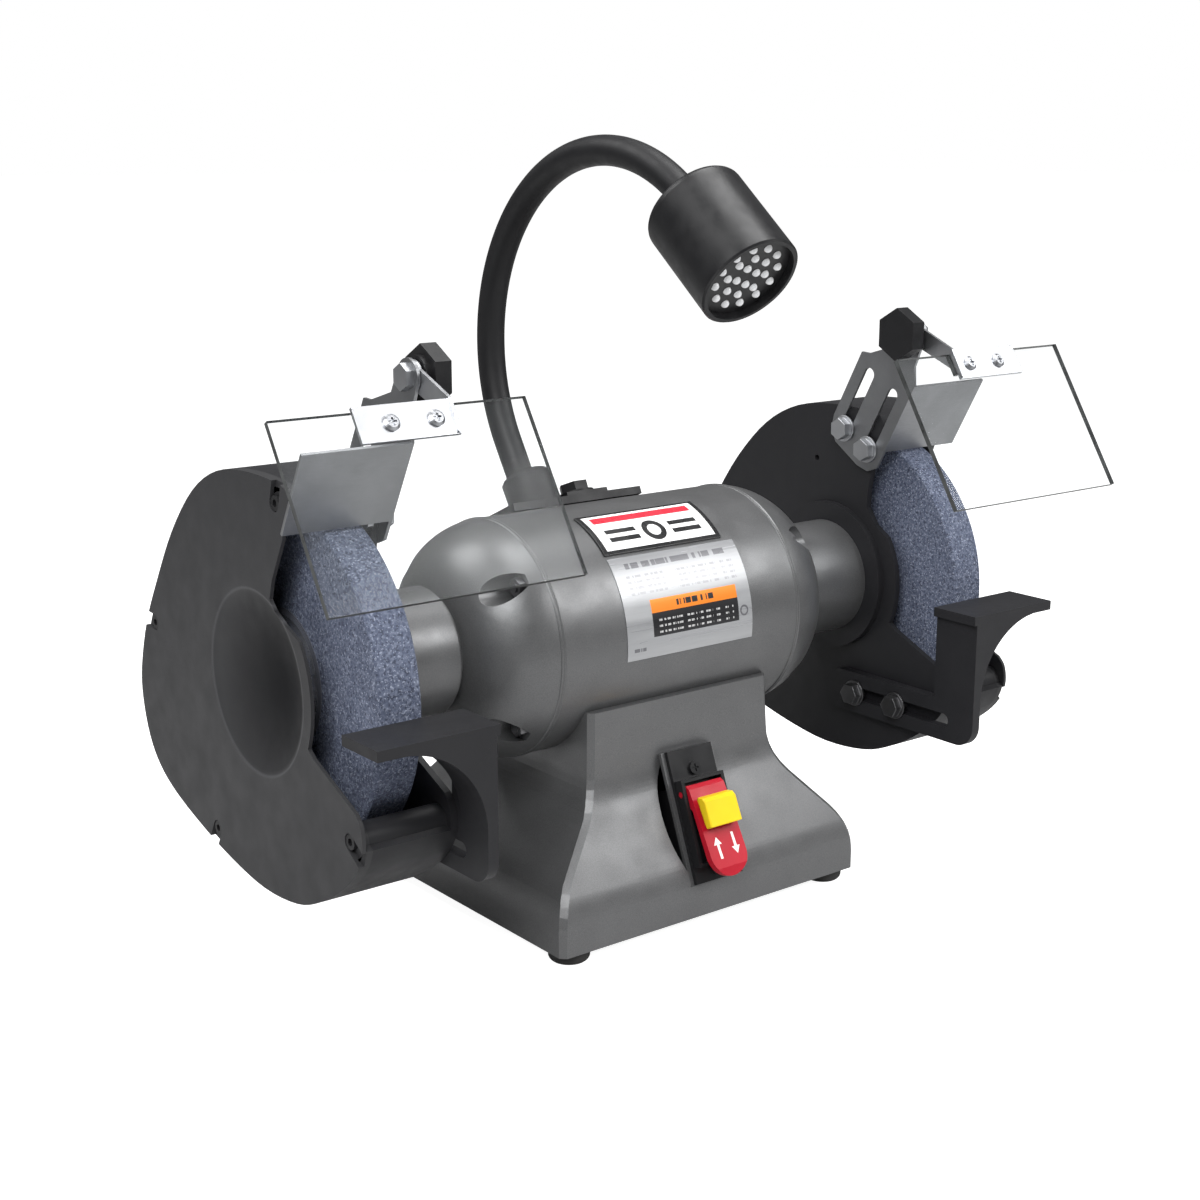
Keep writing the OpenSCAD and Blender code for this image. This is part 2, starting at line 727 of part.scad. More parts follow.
// Cover with its screws sunk in notches that run out through the rim
module cover() {
    difference() {
        intersection() {
            in_yz(guard_out - 20) linear_extrude(20) guard_profile(cover_notch);
            union() {
                difference() {
                    in_yz(guard_out - cover_skin) linear_extrude(cover_skin) guard_profile(cover_notch);
                    rod_x(guard_out - 10, guard_out + 1, dish_r - 0.2, 0, shaft_z);
                }
                dish();
                in_yz(shell_end) linear_extrude(cover_t - 1) guard_rim(guard_wall);
                for (p = boss_spots) rod_x(shell_end, guard_out - 1, p[2], p[0], p[1]);
            }
        }
        for (p = boss_spots) {
            rod_x(shell_end - 1, guard_out + 1, cover_screw_r, p[0], p[1]);
            rod_x(guard_out - notch_depth, guard_out + 1, notch_r, p[0], p[1]);
            translate([guard_out - notch_depth, p[0], p[1]]) rotate([-atan2(p[0], p[1] - shaft_z), 0, 0])
                translate([0, -notch_r, 0]) cube([notch_depth + 1, 2 * notch_r, 20]);
        }
    }
}

module guard_cover_left() {
    color(cover_grey) hand(-1) cover();
}

module guard_cover_right() {
    color(cover_grey) hand(1) cover();
}

module cover_screws() {
    color("black") for (m = [0, 1]) mirror([m, 0, 0]) for (p = boss_spots) difference() {
        union() {
            rod_x(shell_end - 18, guard_out - notch_depth, cover_screw_r, p[0], p[1]);
            rod_x(guard_out - notch_depth, guard_out - 0.4, 4.3, p[0], p[1]);
        }
        hex_x(guard_out - 2, guard_out, 2.3, p[0], p[1]);
    }
}

// ---- tool rests ----------------------------------------------------------

rest_t = 6.6;
rest_in = guard_in - slip / 3 - rest_t;
table_z = 172;
table_t = 6;
table_x0 = 184;
table_x1 = 258.5;
table_back = -105;
table_front = -140;
gusset_back = -114.5;
gusset_r = 52;
rest_slot_y0 = -119;
rest_slot_y1 = -24;
slot_half = 4.5;

module rest() {
    difference() {
        union() {
            in_yz(rest_in) linear_extrude(rest_t) union() {
                translate([table_front, 97]) square([table_back - 1 - table_front, table_z - 97]);
                translate([table_front + 14, 83]) square([106, 28]);
                translate([-20, 97]) circle(14);
                translate([table_front + 14, 97]) circle(14);
            }
            translate([table_x0, table_front, table_z - table_t])
                cube([table_x1 - table_x0, table_back - table_front, table_t]);
            translate([0, gusset_back, 0]) rotate([90, 0, 0]) linear_extrude(gusset_back - table_front)
                difference() {
                    translate([rest_in + 1, 116]) square([gusset_r + 1, table_z - 117]);
                    translate([rest_in + rest_t + gusset_r, 114]) circle(gusset_r);
                }
        }
        in_yz(rest_in - 1) linear_extrude(rest_t + 2) translate([rest_slot_y0, rest_bolt_z])
            slot(rest_slot_y1 - rest_slot_y0, slot_half);
    }
}

// Round-ended slot of length l along +X, starting at the origin
module slot(l, r) {
    translate([r, 0]) circle(r);
    translate([l - r, 0]) circle(r);
    translate([r, -r]) square([l - 2 * r, 2 * r]);
}

module tool_rest_left() {
    color(cast_black) hand(-1) rest();
}

module tool_rest_right() {
    color(cast_black) hand(1) rest();
}

// Hex bolt with a washer under its head, clamping a slotted part onto the guard
module clamp_bolt(face, r) {
    translate([0, 0, face - 1.6]) cylinder(r = r + 5, h = 1.6);
    translate([0, 0, face - 1.6 - 5.2]) cylinder(r = 7.5, h = 5.2, $fn = 6);
    translate([0, 0, face - 2]) cylinder(r = r, h = guard_in + guard_wall - face + 2);
    translate([0, 0, guard_in + guard_wall]) cylinder(r = 7.4, h = 4, $fn = 6);
}

module tool_rest_bolts() {
    color(steel) for (m = [0, 1]) mirror([m, 0, 0]) for (y = rest_bolt_y)
        in_yz(0) translate([y, rest_bolt_z, 0]) clamp_bolt(rest_in - 0.1, rest_bolt_r);
}

// ---- spark arrestors and eye shields -------------------------------------

// Frame of the spark bracket in the y-z plane: local x runs up and back across the bracket,
// local y runs up and forward along its slots, and local z is the distance along the shaft
spark_tilt = 28.5;
module along_spark() {
    rotate([90, 0, 90]) rotate([0, 0, spark_tilt]) children();
}

sheet_t = 2;
cheek_in = guard_in - slip / 3 - sheet_t;
pivot_y = -71;
pivot_z = 346.5;
arrestor_t = 84;
arrestor_s0 = 257;
arrestor_s1 = 309;
arrestor_x1 = 258;
spark_slot_s = 243;
spark_slot_l = 55;
pin_r = 4;

module spark_bracket() {
    difference() {
        union() {
            along_spark() translate([0, 0, cheek_in]) linear_extrude(sheet_t) union() {
                polygon([[84, 244], [90, 237], [100, 235], [125, 237], [133, 243], [135.5, 252],
                    [135.5, 303], [129, 306], [113, 322], [113, 338], [93, 338], [91, 320], [84, 309]]);
                translate([102.9, 338.4]) circle(10);
            }
            along_spark() translate([arrestor_t, arrestor_s0, cheek_in])
                cube([sheet_t, arrestor_s1 - arrestor_s0, arrestor_x1 - cheek_in]);
        }
        for (t = spark_bolt_t) along_spark() translate([t, spark_slot_s, cheek_in - 1])
            rotate([0, 0, 90]) linear_extrude(sheet_t + 2) slot(spark_slot_l, slot_half);
        rod_x(cheek_in - 1, guard_in + 1, pin_r, pivot_y, pivot_z);
    }
}

module spark_bracket_left() {
    color(zinc) hand(-1) spark_bracket();
}

module spark_bracket_right() {
    color(zinc) hand(1) spark_bracket();
}

module spark_bracket_bolts() {
    color(zinc) for (m = [0, 1]) mirror([m, 0, 0]) for (t = spark_bolt_t)
        along_spark() translate([t, spark_bolt_s, 0]) clamp_bolt(cheek_in - 0.1, spark_bolt_r);
}

arm_in = cheek_in - slip - sheet_t;
knob_t = 13;
knob_out = arm_in - 1;
knob_in = knob_out - knob_t;

// Bolt that the shield arm turns on, fixed in the bracket's ear
module shield_bolt() {
    rod_x(knob_in + 4, cheek_in + sheet_t, pin_r, pivot_y, pivot_z);
    hex_x(cheek_in + sheet_t, cheek_in + sheet_t + 4.5, 7.5, pivot_y, pivot_z);
}

module shield_bolt_left() {
    color(steel) hand(-1) shield_bolt();
}

module shield_bolt_right() {
    color(steel) hand(1) shield_bolt();
}

// Frame of the eye shield: origin at its top edge, local -Z down along it, local -Y out of its front
shield_tilt = -32;
shield_top_y = -103;
shield_top_z = 335;
shield_x = 217;
shield_t = 3.2;
module on_shield() {
    translate([0, shield_top_y, shield_top_z]) rotate([shield_tilt, 0, 0]) children();
}

tab_x0 = arm_in;
tab_x1 = 247;
tab_h = 20;
lens_screw_x = [201, 227.5];
lens_screw_z = -8.5;
lens_screw_r = 2.2;

// Folded arm: a cheek on the pivot, and a tab in front of the clear shield
module shield_arm() {
    difference() {
        union() {
            translate([arm_in, 0, 0]) rotate([90, 0, 90]) linear_extrude(sheet_t) difference() {
                union() {
                    translate([pivot_y, pivot_z]) circle(9);
                    polygon([[pivot_y + 2, pivot_z + 8.8], [shield_top_y - 3, shield_top_z + 4.4],
                        [shield_top_y - 13.4, shield_top_z - 12.2], [pivot_y - 6, pivot_z - 8]]);
                }
                translate([pivot_y, pivot_z]) circle(pin_r + run_fit);
            }
            on_shield() translate([tab_x0, -shield_t / 2 - sheet_t, -tab_h + 2])
                cube([tab_x1 - tab_x0, sheet_t, tab_h]);
        }
        for (x = lens_screw_x) on_shield() translate([x, 10, lens_screw_z]) rotate([90, 0, 0])
            cylinder(r = lens_screw_r, h = 20);
    }
}

module shield_arm_left() {
    color(zinc) hand(-1) shield_arm();
}

module shield_arm_right() {
    color(zinc) hand(1) shield_arm();
}

module eye_shield() {
    on_shield() difference() {
        translate([shield_x - shield_w / 2, -shield_t / 2, -shield_l]) cube([shield_w, shield_t, shield_l]);
        translate([arm_in - 0.5, -shield_t, -14]) cube([sheet_t + 1, 2 * shield_t, 20]);
        for (x = lens_screw_x) translate([x, 10, lens_screw_z]) rotate([90, 0, 0])
            cylinder(r = lens_screw_r, h = 20);
    }
}

module eye_shield_left() {
    color([0.9, 0.95, 0.95, 0.4]) hand(-1) eye_shield();
}

module eye_shield_right() {
    color([0.9, 0.95, 0.95, 0.4]) hand(1) eye_shield();
}

module shield_screw_pair() {
    for (x = lens_screw_x) on_shield() translate([x, 0, lens_screw_z]) rotate([90, 0, 0]) difference() {
        union() {
            translate([0, 0, -shield_t / 2 - 3]) cylinder(r = lens_screw_r, h = shield_t + sheet_t + 3.5);
            translate([0, 0, shield_t / 2 + sheet_t]) cylinder(r = 4.6, h = 1.2);
            translate([0, 0, shield_t / 2 + sheet_t + 1.2]) cylinder(r1 = 4.6, r2 = 3.2, h = 1.1);
            translate([0, 0, -shield_t / 2 - 3.2]) cylinder(r = 4.5, h = 3.2, $fn = 6);
        }
        for (a = [0, 90]) rotate([0, 0, a]) translate([-2.2, -0.6, shield_t / 2 + sheet_t + 0.9])
            cube([4.4, 1.2, 3]);
    }
}

module shield_screws_left() {
    color(steel) hand(-1) shield_screw_pair();
}

module shield_screws_right() {
    color(steel) hand(1) shield_screw_pair();
}

// Hex clamping knob with a collar, turning on the shield bolt
module shield_knob() {
    difference() {
        union() {
            hex_x(knob_in, knob_out - 3, 17, pivot_y, pivot_z);
            rod_x(knob_out - 3, knob_out, 11, pivot_y, pivot_z);
        }
        rod_x(knob_in + 3.5, knob_out + 1, pin_r + run_fit, pivot_y, pivot_z);
    }
}

module shield_knob_left() {
    color("black") hand(-1) shield_knob();
}

module shield_knob_right() {
    color("black") hand(1) shield_knob();
}

// ---- lamp ----------------------------------------------------------------

lamp_x = -40;
bend_y = -43;
bend_z = 344.5;
bend_r = 117;
bend_from = -32;
joint_angles = [22, 76, 129];
tube_r = neck_tube_d / 2;
stem_l = 47;
ball_r = 5.5;
end_gap = 1.2;
gap_angle = end_gap / bend_r * 180 / PI;

// Frame at angle a of the bend: local +Z runs along the gooseneck towards the lamp
module on_bend(a) {
    translate([lamp_x, bend_y + bend_r * cos(a), bend_z + bend_r * sin(a)])
        rotate([a, 0, 0]) children();
}

// A stretch of the gooseneck's bend, from angle a0 to a1
module bend_tube(a0, a1) {
    translate([lamp_x, bend_y, bend_z]) rotate([90, 0, 90]) rotate([0, 0, a0])
        rotate_extrude(angle = a1 - a0) translate([bend_r, 0]) circle(tube_r, $fn = 48);
}

// Ball that the next link turns on
module link_ball(a) {
    on_bend(a) sphere(r = ball_r);
}

bracket_angle = 24.6;

// Frame on the motor behind its top: local +Z points straight out of the shell
module on_bracket() {
    translate([0, motor_r * sin(bracket_angle), shaft_z + motor_r * cos(bracket_angle)])
        rotate([-bracket_angle, 0, 0]) children();
}

socket_r = 16.5;
socket_x = lamp_x + 4;
plug_r = 10.5;
lamp_bolt_x = -4;

module lamp_bracket() {
    color(dark_plastic) difference() {
        union() {
            on_bracket() {
                translate([-64, -16, -1]) cube([100, 30, 5]);
                translate([-20, -13, 3]) cube([32, 24, 4]);
            }
            on_bend(bend_from) translate([socket_x - lamp_x, 0, -stem_l - 6]) cylinder(r = socket_r, h = 26);
            on_bend(bend_from) translate([socket_x - lamp_x, 0, -stem_l + 20])
                cylinder(r1 = socket_r, r2 = socket_r - 2.5, h = 3);
        }
        rod_x(-90, 90, motor_r, 0, shaft_z);
        on_bend(bend_from) translate([0, 0, -stem_l + 3]) cylinder(r = plug_r + run_fit, h = 40);
        on_bracket() translate([lamp_bolt_x, 0, -2]) cylinder(r = 3.2, h = 12);
    }
}

module lamp_bolt() {
    color("black") on_bracket() translate([lamp_bolt_x, 0, 0]) {
        translate([0, 0, 1.5]) cylinder(r = 3.2, h = 7);
        translate([0, 0, 7]) cylinder(r = 12, h = 1.5);
        translate([0, 0, 8.5]) cylinder(r = 9.8, h = 6, $fn = 6);
    }
}

module gooseneck_lower() {
    color(cast_black) {
        on_bend(bend_from) translate([0, 0, -stem_l + 3.3]) cylinder(r = plug_r, h = 19);
        on_bend(bend_from) translate([0, 0, -stem_l + 10]) cylinder(r = tube_r, h = stem_l - 10);
        on_bend(bend_from) translate([0, 0, -6]) cylinder(r = 5, h = 10);
        bend_tube(bend_from, joint_angles[0] - gap_angle);
        link_ball(joint_angles[0]);
    }
}

module gooseneck_link(a0, a1) {
    difference() {
        bend_tube(a0 + gap_angle, a1 - gap_angle);
        on_bend(a0) sphere(r = ball_r + run_fit);
    }
    link_ball(a1);
}

module gooseneck_middle() {
    color(cast_black) gooseneck_link(joint_angles[0], joint_angles[1]);
}

module gooseneck_upper() {
    color(cast_black) gooseneck_link(joint_angles[1], joint_angles[2]);
}

lamp_r = lamp_d / 2;
head_wall = 3;
head_gap = 2.2;
face_recess = 4;

module lamp_head() {
    color(dark_plastic) on_bend(joint_angles[2]) difference() {
        rotate_extrude() polygon(concat([[0, head_gap], [13, head_gap], [14, head_gap + 1.5]],
            arc([lamp_r - 5, head_gap + 6.5], 5, -90, 0, 6),
            [[lamp_r, lamp_l], [lamp_r - 1, lamp_l + 1], [lamp_r - head_wall, lamp_l + 1],
                [lamp_r - head_wall, lamp_l - face_recess - 3], [lamp_r - head_wall - 5, lamp_l - face_recess - 3],
                [lamp_r - head_wall - 5, 16], [12, 12], [0, 12]]));
        sphere(r = ball_r + run_fit);
    }
}

led_rings = [[4, 6], [8, 12.5], [12, 19.5]];

// LED board in the mouth of the head, with three rings of domed LEDs
module lamp_leds() {
    color("white") on_bend(joint_angles[2]) translate([0, 0, lamp_l - face_recess - 3]) {
        cylinder(r = lamp_r - head_wall - 0.1, h = 3);
        for (ring = led_rings, i = [0 : ring[0] - 1])
            rotate([0, 0, 360 * i / ring[0] + ring[1] * 4]) translate([ring[1], 0, 3])
                sphere(r = 2.3, $fn = 24);
    }
}

// ---- nodes ---------------------------------------------------------------

base_casting();
base_plate();
base_plate_screws();
rubber_feet();
cord_gland();
capacitor();
switch_bracket();
switch_plate();
switch_body();
switch_screws();
switch_paddle();
switch_key();
motor_shell();
end_bell_left();
end_bell_right();
tie_bolts();
motor_bolts();
stator_core();
stator_windings();
name_badge();
rating_plate();
bearing_outer_races();
bearing_inners();
rotor_core();
arbor_shaft();
inner_flanges();
outer_flanges();
spindle_nuts();
blotters();
wheel_left();
wheel_right();
guard_left();
guard_right();
guard_bolts();
guard_cover_left();
guard_cover_right();
cover_screws();
tool_rest_left();
tool_rest_right();
tool_rest_bolts();
spark_bracket_left();
spark_bracket_right();
spark_bracket_bolts();
shield_bolt_left();
shield_bolt_right();
shield_arm_left();
shield_arm_right();
eye_shield_left();
eye_shield_right();
shield_screws_left();
shield_screws_right();
shield_knob_left();
shield_knob_right();
lamp_bracket();
lamp_bolt();
gooseneck_lower();
gooseneck_middle();
gooseneck_upper();
lamp_head();
lamp_leds();
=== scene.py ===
"""Bench grinder: finishes, printed plates, gooseneck sleeve and studio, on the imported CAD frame.

Metres, in the row frame: +X along the shaft, the front faces -Y, +Z up, feet on z = 0.
"""

import json
import math

import bmesh
import bpy
from mathutils import Matrix, Vector


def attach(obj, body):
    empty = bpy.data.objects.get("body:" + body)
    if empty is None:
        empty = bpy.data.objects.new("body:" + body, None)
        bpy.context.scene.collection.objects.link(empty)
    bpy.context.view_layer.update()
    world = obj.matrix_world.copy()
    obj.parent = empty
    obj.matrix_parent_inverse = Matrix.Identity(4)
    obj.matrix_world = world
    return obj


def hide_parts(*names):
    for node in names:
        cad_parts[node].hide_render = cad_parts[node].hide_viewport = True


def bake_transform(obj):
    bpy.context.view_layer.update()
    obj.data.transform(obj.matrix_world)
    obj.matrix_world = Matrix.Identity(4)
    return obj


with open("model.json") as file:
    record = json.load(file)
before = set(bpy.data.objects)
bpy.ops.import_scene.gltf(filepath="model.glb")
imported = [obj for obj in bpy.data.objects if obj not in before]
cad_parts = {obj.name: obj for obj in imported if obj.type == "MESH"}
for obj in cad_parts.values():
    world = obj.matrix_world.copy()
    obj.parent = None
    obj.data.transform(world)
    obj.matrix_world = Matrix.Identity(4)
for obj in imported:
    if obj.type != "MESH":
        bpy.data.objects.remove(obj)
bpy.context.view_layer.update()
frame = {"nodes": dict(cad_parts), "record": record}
nodes = frame["nodes"]

MM = 0.001
SHAFT_Z = 0.1745
MOTOR_R = 0.073

# The dish in each cover, and the round patch in it that is darkest, which lies towards the front: painted
# shade standing in for the dish's own shadow
DISH_R = 0.0538
DISH_SHADE_Y = -0.020
DISH_SHADE_R = 0.066


# ---- material building blocks ---------------------------------------------


class Finish:
    """A node material with short names for the nodes that the finishes share."""

    def __init__(self, name):
        self.mat = bpy.data.materials.new(name)
        self.mat.use_nodes = True
        self.tree = self.mat.node_tree
        self.bsdf = self.tree.nodes["Principled BSDF"]
        self.out = self.tree.nodes["Material Output"]
        self.coords = self.add("ShaderNodeTexCoord").outputs["Object"]

    def add(self, kind, **settings):
        node = self.tree.nodes.new(kind)
        for key, value in settings.items():
            setattr(node, key, value)
        return node

    def feed(self, socket, value):
        """Links value to the socket, or sets it where value is a plain number or colour."""
        if isinstance(value, bpy.types.NodeSocket):
            self.tree.links.new(value, socket)
        else:
            socket.default_value = value

    def math(self, operation, a, b=0.0, clamp=False):
        node = self.add("ShaderNodeMath", operation=operation, use_clamp=clamp)
        self.feed(node.inputs[0], a)
        self.feed(node.inputs[1], b)
        return node.outputs[0]

    def stretched(self, scale):
        """Object coordinates multiplied by scale, one number for each axis."""
        node = self.add("ShaderNodeMapping")
        self.feed(node.inputs["Vector"], self.coords)
        node.inputs["Scale"].default_value = scale
        return node.outputs[0]

    def noise(self, scale, detail=3.0, rough=0.5, vector=None):
        node = self.add("ShaderNodeTexNoise")
        self.feed(node.inputs["Vector"], vector or self.coords)
        node.inputs["Scale"].default_value = scale
        node.inputs["Detail"].default_value = detail
        node.inputs["Roughness"].default_value = rough
        return node.outputs["Fac"]

    def cells(self, scale):
        node = self.add("ShaderNodeTexVoronoi")
        self.feed(node.inputs["Vector"], self.coords)
        node.inputs["Scale"].default_value = scale
        return node

    def ramp(self, factor, *stops):
        """Colour ramp: each stop is (place, colour)."""
        node = self.add("ShaderNodeValToRGB")
        elements = node.color_ramp.elements
        while len(elements) < len(stops):
            elements.new(0.5)
        for element, (place, colour) in zip(elements, stops):
            element.position = place
            element.color = (*colour, 1.0)
        self.feed(node.inputs[0], factor)
        return node.outputs[0]

    def spread(self, factor, low, high):
        """factor, from 0.3 to 0.7 where most noise lies, mapped to low and high."""
        node = self.add("ShaderNodeMapRange")
        self.feed(node.inputs["Value"], factor)
        node.inputs["From Min"].default_value = 0.3
        node.inputs["From Max"].default_value = 0.7
        node.inputs["To Min"].default_value = low
        node.inputs["To Max"].default_value = high
        return node.outputs[0]

    def mix(self, factor, a, b):
        node = self.add("ShaderNodeMix", data_type="RGBA")
        self.feed(node.inputs["Factor"], factor)
        self.feed(node.inputs["A"], a if isinstance(a, bpy.types.NodeSocket) else (*a, 1.0))
        self.feed(node.inputs["B"], b if isinstance(b, bpy.types.NodeSocket) else (*b, 1.0))
        return node.outputs["Result"]

    def bump(self, height, strength, distance):
        node = self.add("ShaderNodeBump")
        node.inputs["Strength"].default_value = strength
        node.inputs["Distance"].default_value = distance
        self.feed(node.inputs["Height"], height)
        self.feed(self.bsdf.inputs["Normal"], node.outputs[0])

    def off_axis(self, y):
        """Distance from the line that runs beside the shaft's axis at y."""
        split = self.add("ShaderNodeSeparateXYZ")
        self.feed(split.inputs[0], self.coords)
        up = self.math("SUBTRACT", split.outputs[2], SHAFT_Z)
        across = self.math("SUBTRACT", split.outputs[1], y)
        squares = self.math("ADD", self.math("MULTIPLY", across, across), self.math("MULTIPLY", up, up))
        return self.math("SQRT", squares)

    def round_fall(self, y, radius):
        """1 on the line at y beside the shaft's axis, falling to 0 at the radius from it."""
        part = self.math("DIVIDE", self.off_axis(y), radius, clamp=True)
        return self.math("SUBTRACT", 1.0, self.math("POWER", part, 2.6))

    def set(self, **values):
        for key, value in values.items():
            self.feed(self.bsdf.inputs[key.replace("_", " ")], value)
        return self


def shade(colour, k):
    return tuple(min(c * k, 1.0) for c in colour)


def painted(name, colour, rough=0.42, metal=0.0, grain=0.12, wear=0.10, flake=0.0, gloss=0.5, dish=0.0):
    """Sprayed paint: cloudy tone and fine orange peel; if asked for, metal flake, and painted shade in a
    cover's dish with a painted highlight along its rim.
    """
    f = Finish(name)
    cloud = f.noise(14, 4, 0.6)
    fine = f.noise(1500, 2, 0.6)
    tone = f.ramp(cloud, (0.25, shade(colour, 1 - wear)), (0.75, shade(colour, 1 + wear)))
    if flake:
        tone = f.mix(f.spread(f.noise(2400, 1, 0.5), 0.0, flake), tone, shade(colour, 2.0))
    if dish:
        # Painted shade: inside the dish the colour is darkened and the reflection dimmed, most on its
        # forward side, standing in for the shadow within the dish
        inward = f.math("MULTIPLY", f.round_fall(0.0, DISH_R), 6.0, clamp=True)
        dish_shade = f.math("MULTIPLY", inward, f.round_fall(DISH_SHADE_Y, DISH_SHADE_R))
        tone = f.mix(f.math("MULTIPLY", dish_shade, dish), tone, (0.0, 0.0, 0.0))
        gloss = f.math("MULTIPLY", f.math("SUBTRACT", 1.0, dish_shade), gloss)
        # A painted highlight: the paint is paler along the rim, over a ring 2.8 mm wide, standing in for
        # light caught by the rounded rim
        off_rim = f.math("ABSOLUTE", f.math("SUBTRACT", f.off_axis(0.0), DISH_R - 0.6 * MM))
        rim_highlight = f.math("SUBTRACT", 1.0, f.math("DIVIDE", off_rim, 1.4 * MM, clamp=True))
        tone = f.mix(f.math("MULTIPLY", rim_highlight, 0.8), tone, shade(colour, 2.2))
    f.set(Base_Color=tone, Roughness=f.spread(f.noise(60, 3, 0.5), rough - 0.06, rough + 0.06))
    f.set(Metallic=metal, Specular_IOR_Level=gloss)
    f.bump(f.math("ADD", f.math("MULTIPLY", cloud, 0.6), fine), grain, 0.0002)
    return f.mat


def metal(name, colour, rough=0.3, along=(60, 60, 60), grain=0.08):
    """Bare metal with drawn or ground lines: along holds the noise scale on each axis."""
    f = Finish(name)
    lines = f.noise(1.0, 4, 0.6, f.stretched(along))
    blotch = f.noise(35, 4, 0.6)
    f.set(Base_Color=f.ramp(blotch, (0.25, shade(colour, 0.82)), (0.75, shade(colour, 1.08))))
    f.set(Roughness=f.spread(lines, rough - 0.08, rough + 0.10), Metallic=1.0)
    f.bump(lines, grain, 0.0001)
    return f.mat


def moulded(name, colour, rough=0.45, grain=0.10, size=2200, gloss=0.35):
    """Moulded plastic with a fine spark-eroded grain."""
    f = Finish(name)
    pits = f.cells(size).outputs["Distance"]
    cloud = f.noise(25, 3, 0.5)
    f.set(Base_Color=f.ramp(cloud, (0.2, shade(colour, 0.86)), (0.8, shade(colour, 1.12))))
    f.set(Roughness=f.spread(f.noise(120, 3, 0.5), rough - 0.07, rough + 0.07))
    f.set(Specular_IOR_Level=gloss)
    f.bump(pits, grain, 0.0001)
    return f.mat


def abrasive(name):
    """Vitrified grinding wheel: blue-grey grains, dark pores and pale glints."""
    f = Finish(name)
    grains = f.cells(480)
    tint = f.ramp(
        grains.outputs["Distance"],
        (0.0, (0.038, 0.048, 0.082)),
        (0.45, (0.088, 0.106, 0.165)),
        (1.0, (0.26, 0.29, 0.38)),
    )
    speckle = f.noise(1000, 4, 0.7)
    pores = f.math("LESS_THAN", f.noise(560, 3, 0.6), 0.43)
    glint = f.math("GREATER_THAN", f.noise(900, 2, 0.5), 0.62)
    colour = f.mix(f.spread(speckle, 0.0, 0.65), tint, (0.110, 0.132, 0.205))
    colour = f.mix(f.math("MULTIPLY", pores, 0.75), colour, (0.018, 0.023, 0.045))
    colour = f.mix(f.math("MULTIPLY", glint, 0.75), colour, (0.42, 0.46, 0.58))
    cloud = f.noise(18, 3, 0.5)
    colour = f.mix(f.spread(cloud, 0.0, 0.25), colour, (0.14, 0.16, 0.23))
    colour = f.mix(0.16, colour, (0.0, 0.0, 0.0))
    f.set(Base_Color=colour, Roughness=0.88)
    f.bump(f.math("ADD", speckle, grains.outputs["Distance"]), 0.55, 0.0006)
    return f.mat


def rubber(name):
    f = Finish(name)
    dust = f.noise(90, 4, 0.7)
    f.set(Base_Color=f.ramp(dust, (0.3, (0.010, 0.010, 0.010)), (0.8, (0.030, 0.029, 0.028))))
    f.set(Roughness=f.spread(dust, 0.65, 0.85))
    f.bump(f.noise(1200, 3, 0.6), 0.15, 0.0002)
    return f.mat


def copper_winding(name):
    """Varnished wire laid round the rotor's axis."""
    f = Finish(name)
    wave = f.add("ShaderNodeTexWave", bands_direction="X")
    f.feed(wave.inputs["Vector"], f.coords)
    wave.inputs["Scale"].default_value = 320
    wave.inputs["Distortion"].default_value = 1.5
    strands = wave.outputs["Fac"]
    f.set(Base_Color=f.ramp(strands, (0.1, (0.20, 0.06, 0.02)), (0.9, (0.62, 0.26, 0.10))))
    f.set(Metallic=0.8, Roughness=f.spread(f.noise(60, 3, 0.5), 0.25, 0.4))
    f.bump(strands, 0.6, 0.0006)
    return f.mat


def laminations(name):
    """Edges of thin stacked sheets across the shaft."""
    f = Finish(name)
    wave = f.add("ShaderNodeTexWave", bands_direction="X")
    f.feed(wave.inputs["Vector"], f.coords)
    wave.inputs["Scale"].default_value = 500
    sheets = wave.outputs["Fac"]
    f.set(Base_Color=f.ramp(sheets, (0.2, (0.10, 0.10, 0.105)), (0.8, (0.27, 0.27, 0.28))))
    f.set(Metallic=0.7, Roughness=f.spread(f.noise(80, 3, 0.5), 0.4, 0.6))
    f.bump(sheets, 0.4, 0.0004)
    return f.mat


def clear_sheet(name, tint, cover):
    """Clear plastic sheet: it shows what is behind it through a light tint, under a glossy skin."""
    f = Finish(name)
    through = f.add("ShaderNodeBsdfTransparent")
    through.inputs["Color"].default_value = (*tint, 1.0)
    haze = f.spread(f.noise(22, 4, 0.7), cover * 0.6, cover * 1.6)
    skin = f.mix(f.noise(300, 2, 0.5), (0.80, 0.83, 0.85), (0.90, 0.93, 0.95))
    f.set(Base_Color=skin, Roughness=f.spread(f.noise(40, 3, 0.6), 0.05, 0.14))
    blend = f.add("ShaderNodeMixShader")
    f.feed(blend.inputs[0], haze)
    f.feed(blend.inputs[1], through.outputs[0])
    f.feed(blend.inputs[2], f.bsdf.outputs[0])
    gloss = f.add("ShaderNodeBsdfGlossy")
    gloss.inputs["Roughness"].default_value = 0.06
    facing = f.add("ShaderNodeLayerWeight").outputs["Facing"]
    grazing = f.math("MULTIPLY", f.math("POWER", facing, 4.0), 0.08)
    final = f.add("ShaderNodeMixShader")
    f.feed(final.inputs[0], f.math("ADD", grazing, 0.003))
    f.feed(final.inputs[1], blend.outputs[0])
    f.feed(final.inputs[2], gloss.outputs[0])
    f.feed(f.out.inputs["Surface"], final.outputs[0])
    return f.mat


def sheet_edge(name):
    """Sawn and flamed edge of the clear sheet, which gathers light and shows grey."""
    f = Finish(name)
    saw = f.noise(1.0, 3, 0.6, f.stretched((400, 90, 90)))
    f.set(Base_Color=f.ramp(saw, (0.2, (0.020, 0.021, 0.021)), (0.8, (0.085, 0.090, 0.090))))
    f.set(Roughness=f.spread(saw, 0.25, 0.40), Specular_IOR_Level=0.25)
    f.bump(saw, 0.2, 0.0002)
    return f.mat


DARK_INK = (0.02, 0.02, 0.022)


